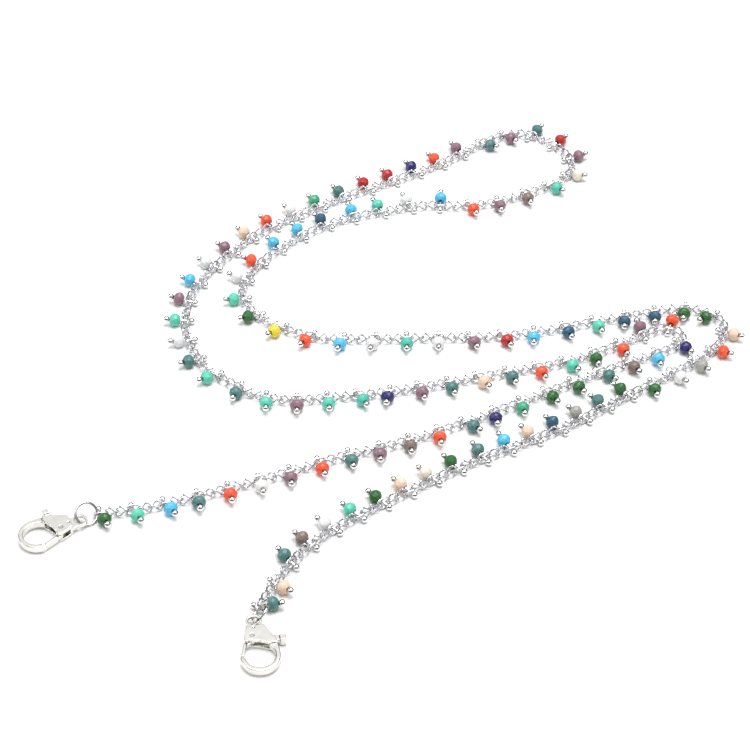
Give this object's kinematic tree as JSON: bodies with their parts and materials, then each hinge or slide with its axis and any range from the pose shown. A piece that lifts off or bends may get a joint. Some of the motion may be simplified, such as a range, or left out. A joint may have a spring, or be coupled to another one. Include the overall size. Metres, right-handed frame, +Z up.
{
  "type": "eyeglass retainer chain",
  "caption": "Beaded metal chain that hangs glasses round the neck: curb links with a capped glass bead on each dangling pin and a sprung hook clasp on a ring at each end.",
  "frame": {"origin": "on the surface the chain lies on, under the middle of the laid-out chain's outline", "axes": "+X across the nested loops, +Y from the clasp ends towards the far loops, +Z up from the surface"},
  "size_m": [0.1539, 0.1736, 0.0041],
  "materials": {
    "chain_metal": "polished",
    "pin_metal": "polished",
    "ring_metal": "polished",
    "clasp_metal": "polished",
    "spring_steel": "satin",
    "bead_glass": "faceted, glossy"
  },
  "bodies": {
    "laid_chain": {"front_row_links": "chain_metal", "front_row_pins": "pin_metal", "front_row_beads": "bead_glass", "front_row_end_balls": "pin_metal", "middle_row_links": "chain_metal", "middle_row_pins": "pin_metal", "middle_row_beads": "bead_glass", "middle_row_end_balls": "pin_metal", "left_curve_links": "chain_metal", "left_curve_pins": "pin_metal", "left_curve_beads": "bead_glass", "left_curve_end_balls": "pin_metal", "back_row_links": "chain_metal", "back_row_pins": "pin_metal", "back_row_beads": "bead_glass", "back_row_end_balls": "pin_metal", "inner_row_links": "chain_metal", "inner_row_pins": "pin_metal", "inner_row_beads": "bead_glass", "inner_row_end_balls": "pin_metal", "centre_row_links": "chain_metal", "centre_row_pins": "pin_metal", "centre_row_beads": "bead_glass", "centre_row_end_balls": "pin_metal", "right_row_links": "chain_metal", "right_row_pins": "pin_metal", "right_row_beads": "bead_glass", "right_row_end_balls": "pin_metal"},
    "left_inner_swivel": {"left_inner_swivel_link": "chain_metal"},
    "left_inner_run": {"left_inner_links": "chain_metal", "left_inner_pins": "pin_metal", "left_inner_beads": "bead_glass", "left_inner_end_balls": "pin_metal"},
    "left_outer_swivel": {"left_outer_swivel_link": "chain_metal"},
    "left_outer_run": {"left_outer_links": "chain_metal", "left_outer_pins": "pin_metal", "left_outer_beads": "bead_glass", "left_outer_end_balls": "pin_metal"},
    "left_ring": {"left_jump_ring": "ring_metal"},
    "left_clasp": {"left_clasp_casting": "clasp_metal", "left_rivet": "clasp_metal", "left_gate_spring": "spring_steel"},
    "left_gate": {"left_gate_lever": "clasp_metal"},
    "right_inner_swivel": {"right_inner_swivel_link": "chain_metal"},
    "right_inner_run": {"right_inner_links": "chain_metal", "right_inner_pins": "pin_metal", "right_inner_beads": "bead_glass", "right_inner_end_balls": "pin_metal"},
    "right_outer_swivel": {"right_outer_swivel_link": "chain_metal"},
    "right_outer_run": {"right_outer_links": "chain_metal", "right_outer_pins": "pin_metal", "right_outer_beads": "bead_glass", "right_outer_end_balls": "pin_metal"},
    "right_ring": {"right_jump_ring": "ring_metal"},
    "right_clasp": {"right_clasp_casting": "clasp_metal", "right_rivet": "clasp_metal", "right_gate_spring": "spring_steel"},
    "right_gate": {"right_gate_lever": "clasp_metal"}
  },
  "joints": [
    {"name": "left_inner_lift", "type": "hinge", "parent": "laid_chain", "child": "left_inner_swivel", "pos_m": [0.01928, -0.0164, 0.00116], "axis": [-0.459, 0.8884, 0], "range_deg": [0, 30]},
    {"name": "left_inner_swing", "type": "hinge", "parent": "left_inner_swivel", "child": "left_inner_run", "pos_m": [0.01731, -0.01742, 0.00116], "axis": [0, 0, 1], "range_deg": [-12, 8]},
    {"name": "left_outer_lift", "type": "hinge", "parent": "left_inner_run", "child": "left_outer_swivel", "pos_m": [-0.02379, -0.03401, 0.00116], "axis": [-0.3794, 0.9252, 0], "range_deg": [0, 30]},
    {"name": "left_outer_swing", "type": "hinge", "parent": "left_outer_swivel", "child": "left_outer_run", "pos_m": [-0.02585, -0.03483, 0.00116], "axis": [0, 0, 1], "range_deg": [-20, 25]},
    {"name": "left_ring_swing", "type": "hinge", "parent": "left_outer_run", "child": "left_ring", "pos_m": [-0.06147, -0.04558, 0.00116], "axis": [0, 0, 1], "range_deg": [-25, 25]},
    {"name": "left_clasp_swing", "type": "hinge", "parent": "left_ring", "child": "left_clasp", "pos_m": [-0.06485, -0.04775, 0.0013], "axis": [0, 0, 1], "range_deg": [-35, 35]},
    {"name": "left_gate_turn", "type": "hinge", "parent": "left_clasp", "child": "left_gate", "pos_m": [-0.06827, -0.0505, 0.0013], "axis": [0, 0, -1], "range_deg": [0, 25], "stiffness_Nm_per_rad": 0.0002, "springref_deg": -17.19, "deforming": ["left_gate_spring"]},
    {"name": "right_inner_lift", "type": "hinge", "parent": "laid_chain", "child": "right_inner_swivel", "pos_m": [0.03705, -0.01927, 0.00116], "axis": [-0.524, 0.8517, 0], "range_deg": [0, 30]},
    {"name": "right_inner_swing", "type": "hinge", "parent": "right_inner_swivel", "child": "right_inner_run", "pos_m": [0.03527, -0.02033, 0.00116], "axis": [0, 0, 1], "range_deg": [-2, 20]},
    {"name": "right_outer_lift", "type": "hinge", "parent": "right_inner_run", "child": "right_outer_swivel", "pos_m": [-0.00058, -0.04082, 0.00116], "axis": [-0.5449, 0.8385, 0], "range_deg": [0, 30]},
    {"name": "right_outer_swing", "type": "hinge", "parent": "right_outer_swivel", "child": "right_outer_run", "pos_m": [-0.00231, -0.04195, 0.00116], "axis": [0, 0, 1], "range_deg": [-20, 25]},
    {"name": "right_ring_swing", "type": "hinge", "parent": "right_outer_run", "child": "right_ring", "pos_m": [-0.02741, -0.07051, 0.00116], "axis": [0, 0, 1], "range_deg": [-22, 1]},
    {"name": "right_clasp_swing", "type": "hinge", "parent": "right_ring", "child": "right_clasp", "pos_m": [-0.0285, -0.07425, 0.0013], "axis": [0, 0, 1], "range_deg": [-35, 35]},
    {"name": "right_gate_turn", "type": "hinge", "parent": "right_clasp", "child": "right_gate", "pos_m": [-0.02856, -0.07864, 0.0013], "axis": [0, 0, 1], "range_deg": [0, 25], "stiffness_Nm_per_rad": 0.0002, "springref_deg": -17.19, "deforming": ["right_gate_spring"]}
  ]
}
